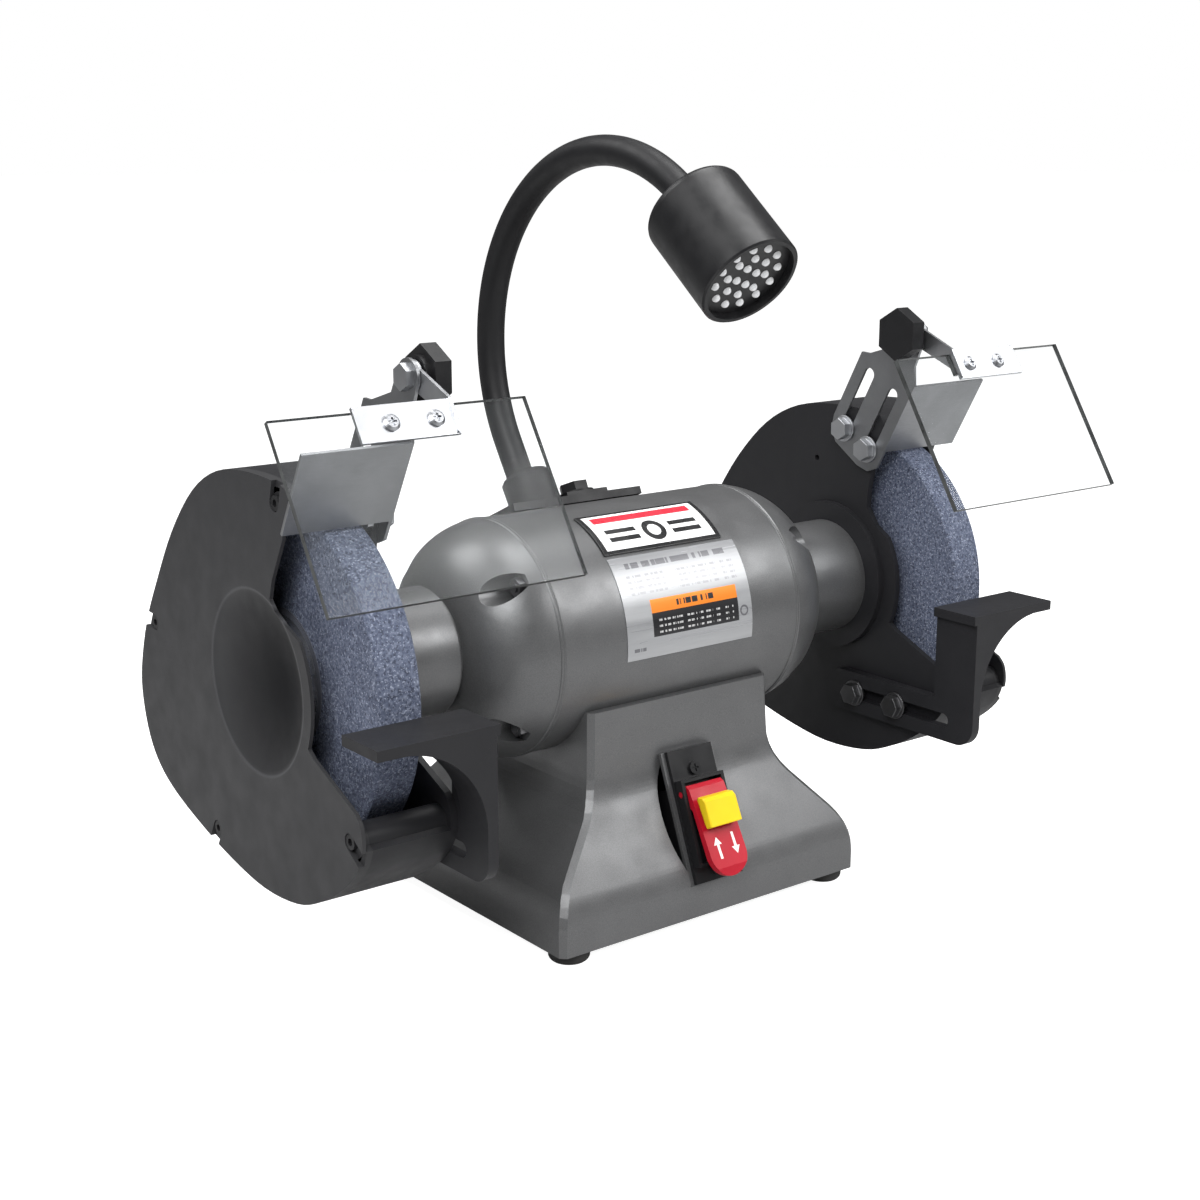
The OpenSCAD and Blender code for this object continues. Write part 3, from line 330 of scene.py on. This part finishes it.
class Print(Finish):
    """A plate wrapped on the motor, printed in mm along the shaft and degrees forward of the top."""

    def __init__(self, name):
        super().__init__(name)
        split = self.add("ShaderNodeSeparateXYZ")
        self.feed(split.inputs[0], self.coords)
        self.x = self.math("MULTIPLY", split.outputs[0], 1000.0)
        up = self.math("SUBTRACT", split.outputs[2], SHAFT_Z)
        front = self.math("MULTIPLY", split.outputs[1], -1.0)
        self.phi = self.math("DEGREES", self.math("ARCTAN2", front, up))

    def span(self, value, low, high):
        return self.math(
            "MULTIPLY",
            self.math("GREATER_THAN", value, low),
            self.math("LESS_THAN", value, high),
        )

    def rect(self, x0, x1, a0, a1):
        return self.math("MULTIPLY", self.span(self.x, x0, x1), self.span(self.phi, a0, a1))

    def rows(self, mask, pitch, fill):
        """mask cut into rows that repeat every pitch degrees, each filling that share of it."""
        part = self.math("FRACT", self.math("DIVIDE", self.phi, pitch))
        return self.math("MULTIPLY", mask, self.math("LESS_THAN", part, fill))

    def dashes(self, mask, scale, fill):
        """mask broken along the shaft, as lines of small print are."""
        grain = self.noise(1.0, 1, 0.5, self.stretched((scale, 1, 1)))
        return self.math("MULTIPLY", mask, self.math("GREATER_THAN", grain, fill))

    def disc(self, x, phi, r):
        dx = self.math("SUBTRACT", self.x, x)
        dy = self.math("MULTIPLY", self.math("SUBTRACT", self.phi, phi), math.radians(1) * MOTOR_R / MM)
        squares = self.math("ADD", self.math("MULTIPLY", dx, dx), self.math("MULTIPLY", dy, dy))
        return self.math("LESS_THAN", self.math("SQRT", squares), r)


def badge_print(name):
    """White badge: black border, red bar, and a plain wheel mark between two bars."""
    p = Print(name)
    cloud = p.noise(40, 3, 0.5)
    colour = p.ramp(cloud, (0.3, (0.78, 0.78, 0.78)), (0.7, (0.86, 0.86, 0.86)))
    inside = p.rect(-43.0, 42.0, 17.9, 42.0)
    colour = p.mix(inside, (0.012, 0.012, 0.013), colour)
    colour = p.mix(p.rect(-38.5, 37.5, 19.6, 24.2), colour, (0.62, 0.025, 0.045))
    dark = (0.015, 0.015, 0.016)
    ring = p.math("SUBTRACT", p.disc(0, 33.4, 8.4), p.disc(0, 33.4, 4.6), clamp=True)
    colour = p.mix(ring, colour, dark)
    for x0, x1 in ((-36, -13), (13, 35)):
        colour = p.mix(p.rect(x0, x1, 29.4, 32.2), colour, dark)
        colour = p.mix(p.rect(x0, x1, 34.6, 37.4), colour, dark)
    p.set(Base_Color=colour, Roughness=p.spread(p.noise(90, 3, 0.5), 0.22, 0.34))
    p.bump(p.noise(500, 2, 0.5), 0.04, 0.0001)
    return p.mat


def plate_print(name):
    """Silver sticker: rows of unreadable print, an orange bar over a black panel, a round mark."""
    p = Print(name)
    sheen = p.noise(1.0, 3, 0.5, p.stretched((9, 160, 160)))
    colour = p.ramp(sheen, (0.25, (0.26, 0.265, 0.275)), (0.75, (0.37, 0.375, 0.385)))
    ink = (0.13, 0.13, 0.14)
    colour = p.mix(p.dashes(p.rect(-36, 42, 49.6, 52.6), 330, 0.42), colour, ink)
    for x0, x1 in ((-38, -10), (-2, 46)):
        lines = p.rows(p.rect(x0, x1, 55.2, 66.4), 2.8, 0.42)
        colour = p.mix(p.dashes(lines, 620, 0.46), colour, (0.22, 0.22, 0.23))
    colour = p.mix(p.rect(-26, 42, 68.8, 75.2), colour, (0.80, 0.22, 0.02))
    colour = p.mix(p.dashes(p.rect(-6, 24, 70.6, 73.4), 420, 0.45), colour, DARK_INK)
    colour = p.mix(p.rect(-26, 42, 75.2, 86.4), colour, DARK_INK)
    small = p.rows(p.rect(-22, 38, 76.8, 85.2), 2.8, 0.34)
    colour = p.mix(p.dashes(small, 700, 0.5), colour, (0.55, 0.55, 0.55))
    mark = p.math("SUBTRACT", p.disc(46.5, 82, 3.4), p.disc(46.5, 82, 2.2), clamp=True)
    colour = p.mix(mark, colour, ink)
    colour = p.mix(p.dashes(p.rect(-41, -32, 90.5, 92.2), 700, 0.4), colour, ink)
    p.set(Base_Color=colour, Roughness=p.spread(sheen, 0.24, 0.36), Metallic=0.25)
    p.bump(p.noise(700, 2, 0.5), 0.03, 0.0001)
    return p.mat


def glowing(name):
    """Clear domed lens over a lit diode."""
    f = Finish(name)
    cloud = f.noise(900, 2, 0.5)
    f.set(Base_Color=f.ramp(cloud, (0.3, (0.44, 0.45, 0.47)), (0.7, (0.58, 0.59, 0.60))))
    f.set(Roughness=0.15)
    f.set(Emission_Color=(1.0, 1.0, 1.0, 1.0), Emission_Strength=0.25)
    f.bump(cloud, 0.05, 0.0001)
    return f.mat


GREY = (0.105, 0.106, 0.108)

finishes = {
    "motor_grey": painted("motor_grey", GREY, rough=0.40, metal=0.55, grain=0.10, flake=0.40),
    "guard_black": painted("guard_black", (0.015, 0.015, 0.017), rough=0.50, grain=0.22, gloss=0.26),
    # dish=0.42 sets how dark the painted shade in each cover's dish is
    "cover_grey": painted(
        "cover_grey", (0.031, 0.031, 0.033), rough=0.5, grain=0.20, wear=0.04, gloss=0.22, dish=0.42
    ),
    "sheet_dark": painted("sheet_dark", (0.05, 0.05, 0.052), rough=0.5),
    "bracket_black": painted("bracket_black", (0.010, 0.010, 0.011), rough=0.46, grain=0.12, gloss=0.25),
    "black_plastic": moulded("black_plastic", (0.009, 0.009, 0.010), rough=0.40, gloss=0.34),
    "neck_sleeve": moulded(
        "neck_sleeve", (0.009, 0.009, 0.010), rough=0.50, grain=0.14, size=1500, gloss=0.26
    ),
    "rubber": rubber("rubber"),
    "red_plastic": moulded("red_plastic", (0.40, 0.007, 0.020), rough=0.36, grain=0.03, gloss=0.25),
    "yellow_plastic": moulded("yellow_plastic", (0.74, 0.52, 0.010), rough=0.36, grain=0.03, gloss=0.25),
    "steel": metal("steel", (0.42, 0.43, 0.45), 0.32, (300, 2400, 2400), 0.03),
    "zinc": metal("zinc", (0.50, 0.51, 0.53), 0.36, (120, 2600, 2600), 0.015),
    "bracket_aluminium": metal("bracket_aluminium", (0.285, 0.29, 0.30), 0.44, (120, 2200, 2200), 0.02),
    "capacitor_can": metal("capacitor_can", (0.5, 0.52, 0.54), 0.32, (500, 60, 60)),
    "core_steel": laminations("core_steel"),
    "winding_copper": copper_winding("winding_copper"),
    "abrasive": abrasive("abrasive"),
    "badge_white": badge_print("badge_white"),
    "plate_silver": plate_print("plate_silver"),
    "blotter_paper": painted("blotter_paper", (0.075, 0.08, 0.10), rough=0.85, grain=0.3),
    "clear_plastic": clear_sheet("clear_plastic", (0.955, 0.962, 0.962), 0.012),
    "led_white": glowing("led_white"),
}
edge_finish = sheet_edge("clear_plastic_edge")
dark_steel = metal("dark_steel", (0.17, 0.17, 0.175), 0.40, (300, 2400, 2400), 0.03)
board_finish = moulded("led_board", (0.012, 0.012, 0.013), rough=0.4)
arrow_finish = moulded("arrow_white", (0.85, 0.85, 0.84), rough=0.4, grain=0.03)

slot_of = {part["node"]: part["material_slot"] for part in frame["record"]["subparts"]}


# ---- CAD nodes: finishes, soft edges ---------------------------------------

# Rounded edges, in mm, for the nodes whose castings or mouldings have them
ROUND = {
    "base_casting": 1.6,
    "end_bell_left": 0.8,
    "end_bell_right": 0.8,
    "guard_left": 1.4,
    "guard_right": 1.4,
    "guard_cover_left": 1.8,
    "guard_cover_right": 1.8,
    "tool_rest_left": 1.0,
    "tool_rest_right": 1.0,
    "switch_paddle": 1.1,
    "switch_key": 0.9,
    "lamp_bracket": 0.9,
    "lamp_bolt": 0.7,
    "shield_knob_left": 1.3,
    "shield_knob_right": 1.3,
    "shield_arm_left": 0.4,
    "shield_arm_right": 0.4,
    "spark_bracket_left": 0.4,
    "spark_bracket_right": 0.4,
    "tool_rest_bolts": 0.4,
    "spark_bracket_bolts": 0.4,
    "shield_bolt_left": 0.5,
    "shield_bolt_right": 0.5,
    "cord_gland": 0.5,
    "name_badge": 0.4,
    "rubber_feet": 0.5,
}


# Edges this close together are one edge, and faces that turn less than this are one curved surface
SAME_PLACE = 1e-5
SAME_SURFACE = math.radians(16)


def edge_place(mesh, edge):
    return frozenset(tuple(round(c / SAME_PLACE) for c in mesh.vertices[v].co) for v in edge.vertices)


def mark_creases(mesh):
    """Marks the open edges sharp, because the file splits its vertices along every crease."""
    normals_at = [[] for edge in mesh.edges]
    for face in mesh.polygons:
        for loop in face.loop_indices:
            normals_at[mesh.loops[loop].edge_index].append(face.normal.copy())
    open_edges = [(edge, normals[0]) for edge, normals in zip(mesh.edges, normals_at) if len(normals) == 1]
    sides = {}
    for edge, normal in open_edges:
        sides.setdefault(edge_place(mesh, edge), []).append(normal)
    for edge, normal in open_edges:
        pair = sides[edge_place(mesh, edge)]
        smooth = len(pair) == 2 and pair[0].dot(pair[1]) > math.cos(SAME_SURFACE)
        edge.use_edge_sharp = not smooth


def soften(obj, width):
    """Rounds the sharp edges of a CAD node with modifiers, leaving its own vertices as they are."""
    mesh = obj.data
    if "custom_normal" in mesh.attributes:
        mesh.attributes.remove(mesh.attributes["custom_normal"])
    mesh.polygons.foreach_set("use_smooth", [True] * len(mesh.polygons))
    mark_creases(mesh)
    weld = obj.modifiers.new("weld", "WELD")
    weld.merge_threshold = 1e-6
    bevel = obj.modifiers.new("round", "BEVEL")
    bevel.width = width * MM
    bevel.segments = 3
    bevel.limit_method = "ANGLE"
    bevel.angle_limit = math.radians(38)
    bevel.use_clamp_overlap = True
    bevel.miter_outer = "MITER_ARC"
    bevel.harden_normals = True
    even = obj.modifiers.new("even", "WEIGHTED_NORMAL")
    even.keep_sharp = True


for name, obj in nodes.items():
    obj.data.materials.clear()
    obj.data.materials.append(finishes[slot_of[name]])
    if name in ROUND:
        soften(obj, ROUND[name])
for name in ("tool_rest_bolts", "tie_bolts"):
    nodes[name].data.materials[0] = dark_steel

# The rim of each clear shield shows grey
SHIELD_LEAN = math.radians(32)
SHIELD_FRONT = Vector((0, -math.cos(SHIELD_LEAN), math.sin(SHIELD_LEAN)))
for side in ("left", "right"):
    mesh = nodes["eye_shield_" + side].data
    mesh.materials.append(edge_finish)
    for face in mesh.polygons:
        face.material_index = 0 if abs(face.normal.dot(SHIELD_FRONT)) > 0.9 else 1

# The gooseneck's bend is part of a circle, and the lamp head is at its end
BEND_Y = -0.043
BEND_Z = 0.3445
BEND_R = 0.117
LAMP_X = -0.040
BEND_CENTRE = Vector((LAMP_X, BEND_Y, BEND_Z))
HEAD_DEGREES = 129
HEAD_ANGLE = math.radians(HEAD_DEGREES)
head_origin = BEND_CENTRE + BEND_R * Vector((0, math.cos(HEAD_ANGLE), math.sin(HEAD_ANGLE)))
head_axis = Vector((0, -math.sin(HEAD_ANGLE), math.cos(HEAD_ANGLE)))

# The LED board is black between its lit domes, which stand past its face
BOARD_FACE = 0.0611
mesh = nodes["lamp_leds"].data
mesh.materials.append(board_finish)
for face in mesh.polygons:
    face.material_index = 0 if (face.center - head_origin).dot(head_axis) > BOARD_FACE else 1


# ---- added pieces ----------------------------------------------------------


def new_piece(name, build, finish, smooth=True):
    """A mesh object made by build(bm), with one finish."""
    bm = bmesh.new()
    build(bm)
    bmesh.ops.recalc_face_normals(bm, faces=bm.faces)
    mesh = bpy.data.meshes.new(name)
    bm.to_mesh(mesh)
    bm.free()
    mesh.polygons.foreach_set("use_smooth", [smooth] * len(mesh.polygons))
    mesh.materials.append(finish)
    obj = bpy.data.objects.new(name, mesh)
    bpy.context.scene.collection.objects.link(obj)
    return obj


def sweep(bm, stations, r, around=40):
    """Tube of radius r through stations, each (centre, side, up) with side and up across the tube."""
    rings = []
    for centre, side, up in stations:
        rings.append(
            [
                bm.verts.new(centre + side * (r * math.cos(t)) + up * (r * math.sin(t)))
                for t in (2 * math.pi * k / around for k in range(around))
            ]
        )
    for a, b in zip(rings, rings[1:]):
        for k in range(around):
            bm.faces.new((a[k], a[(k + 1) % around], b[(k + 1) % around], b[k]))


# Degrees round the bend where the straight stem ends
BEND_START = -32


def neck_station(distance):
    """Point and cross directions of the gooseneck, by distance along it from the bend's start."""
    angle = math.radians(BEND_START) + max(distance, 0) / BEND_R
    out = Vector((0, math.cos(angle), math.sin(angle)))
    along = Vector((0, -math.sin(angle), math.cos(angle)))
    centre = BEND_CENTRE + out * BEND_R + along * min(distance, 0)
    return centre, Vector((1, 0, 0)), out


def neck_distance(degrees):
    return BEND_R * math.radians(degrees - BEND_START)


NECK_R = 0.0087
STEM = 0.036
RING_STEP = 0.0016
# Gap between the sleeve's end and the lamp head
HEAD_GAP = 0.0005


def neck_sleeve(name, d0, d1):
    count = int((d1 - d0) / RING_STEP)

    def build(bm):
        stations = [neck_station(d0 + (d1 - d0) * k / count) for k in range(count + 1)]
        sweep(bm, stations, NECK_R)

    return new_piece(name, build, finishes["neck_sleeve"])


cuts = (-STEM, neck_distance(49), neck_distance(102.5), neck_distance(HEAD_DEGREES) - HEAD_GAP)
for index, node_name in enumerate(("gooseneck_lower", "gooseneck_middle", "gooseneck_upper")):
    piece = neck_sleeve("sleeve_" + str(index + 1), cuts[index], cuts[index + 1])
    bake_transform(piece)
    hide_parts(node_name)


# Section of the rolled lip, as (radius, distance along the shaft) in mm: two ridges and the groove between
SEAM = [(72.9, 91.2), (73.5, 91.5), (73.6, 92.1), (73.1, 92.5), (73.1, 92.9), (73.6, 93.3), (73.5, 94.2)]
SEAM.append((72.8, 94.7))


def seam_ring(name, side):
    """Rolled lip where the motor shell meets the end bell."""

    def build(bm):
        around = 160
        rings = []
        for k in range(around):
            t = 2 * math.pi * k / around
            rings.append(
                [
                    bm.verts.new((side * x * MM, r * MM * math.cos(t), SHAFT_Z + r * MM * math.sin(t)))
                    for r, x in SEAM
                ]
            )
        for k in range(around):
            a, b = rings[k], rings[(k + 1) % around]
            for j in range(len(SEAM) - 1):
                bm.faces.new((a[j], a[j + 1], b[j + 1], b[j]))

    piece = new_piece(name, build, finishes["motor_grey"])
    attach(piece, "motor")


seam_ring("seam_lip_left", -1)
seam_ring("seam_lip_right", 1)

# Arrows on the paddle, whose face slopes outwards as it goes down. PANEL is the switch's own axes
PANEL = Matrix.Translation(Vector((0, -0.0882, 0.0668))) @ Matrix.Rotation(math.radians(-21.3), 4, "X")

PADDLE_FACE_Y = -12.5
PADDLE_TOP_Z = 8
PADDLE_LEAN = 6.0 / 42.0
ARROW_PROUD = 0.12
ARROW_THICK = 0.3


def arrow(name, x, z, up):
    """Arrow 1.8 mm wide in the shaft, lying just proud of the paddle's sloping face."""
    outline = [(-0.9, -6.5), (0.9, -6.5), (0.9, 2.2), (3.0, 2.2), (0, 6.8), (-3.0, 2.2), (-0.9, 2.2)]

    def build(bm):
        verts = []
        for px, pz in outline:
            lz = z + (pz if up else -pz)
            ly = PADDLE_FACE_Y - (PADDLE_TOP_Z - lz) * PADDLE_LEAN - ARROW_PROUD
            verts.append(bm.verts.new(PANEL @ Vector(((x + px) * MM, ly * MM, lz * MM))))
        face = bm.faces.new(verts)
        made = bmesh.ops.extrude_face_region(bm, geom=[face])
        inward = PANEL.to_3x3() @ Vector((0, ARROW_THICK * MM, 0))
        for item in made["geom"]:
            if isinstance(item, bmesh.types.BMVert):
                item.co += inward

    piece = new_piece(name, build, arrow_finish, smooth=False)
    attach(piece, "paddle")


arrow("arrow_up", -6.0, -22, True)
arrow("arrow_down", 6.8, -21, False)


# ---- studio ----------------------------------------------------------------


def floor():
    bpy.ops.mesh.primitive_plane_add(size=60, location=(0, 0, 0))
    plane = bpy.context.object
    plane.name = "studio_floor"
    f = Finish("studio_floor")
    f.set(Base_Color=f.ramp(f.noise(3, 2, 0.5), (0.3, (0.54, 0.54, 0.54)), (0.7, (0.58, 0.58, 0.58))))
    f.set(Roughness=0.7, Emission_Color=(1.0, 1.0, 1.0, 1.0))
    seen = f.add("ShaderNodeLightPath").outputs["Is Camera Ray"]
    f.set(Emission_Strength=f.math("MULTIPLY", seen, 0.95))
    plane.data.materials.append(f.mat)


floor()


def softbox(name, place, target, size, power):
    light = bpy.data.lights.new(name, "AREA")
    light.shape = "RECTANGLE"
    light.size, light.size_y = size
    light.energy = power
    obj = bpy.data.objects.new(name, light)
    obj.location = place
    obj.rotation_euler = (Vector(target) - Vector(place)).to_track_quat("-Z", "Y").to_euler()
    bpy.context.scene.collection.objects.link(obj)


softbox("left", (-1.2, -0.9, 1.5), (0, 0, 0.2), (1.0, 1.0), 36)
softbox("front", (0.95, -1.15, 1.15), (0, 0, 0.15), (1.0, 0.7), 19)
softbox("top", (0.3, -0.1, 1.9), (0, 0, 0.2), (1.2, 1.0), 27)
softbox("rear", (-0.7, 0.7, 1.5), (0, 0, 0.2), (0.8, 0.8), 13)

world = bpy.data.worlds.new("studio")
world.use_nodes = True
backdrop = world.node_tree.nodes["Background"]
backdrop.inputs["Color"].default_value = (1, 1, 1, 1)
# The backdrop shows white, and lights the part more weakly than that
strength = world.node_tree.nodes.new("ShaderNodeMapRange")
strength.inputs["To Min"].default_value = 0.15
strength.inputs["To Max"].default_value = 1.0
seen = world.node_tree.nodes.new("ShaderNodeLightPath").outputs["Is Camera Ray"]
world.node_tree.links.new(seen, strength.inputs["Value"])
world.node_tree.links.new(strength.outputs[0], backdrop.inputs["Strength"])
bpy.context.scene.world = world
bpy.context.scene.view_settings.view_transform = "Standard"

camera = bpy.data.cameras.new("camera")
camera.sensor_width = 36
camera.lens = 55.82
camera_object = bpy.data.objects.new("camera", camera)
camera_object.location = (-0.7096, -0.9011, 0.4628)
camera_object.rotation_euler = (math.radians(76.34), 0, math.radians(-37.82))
bpy.context.scene.collection.objects.link(camera_object)
bpy.context.scene.camera = camera_object
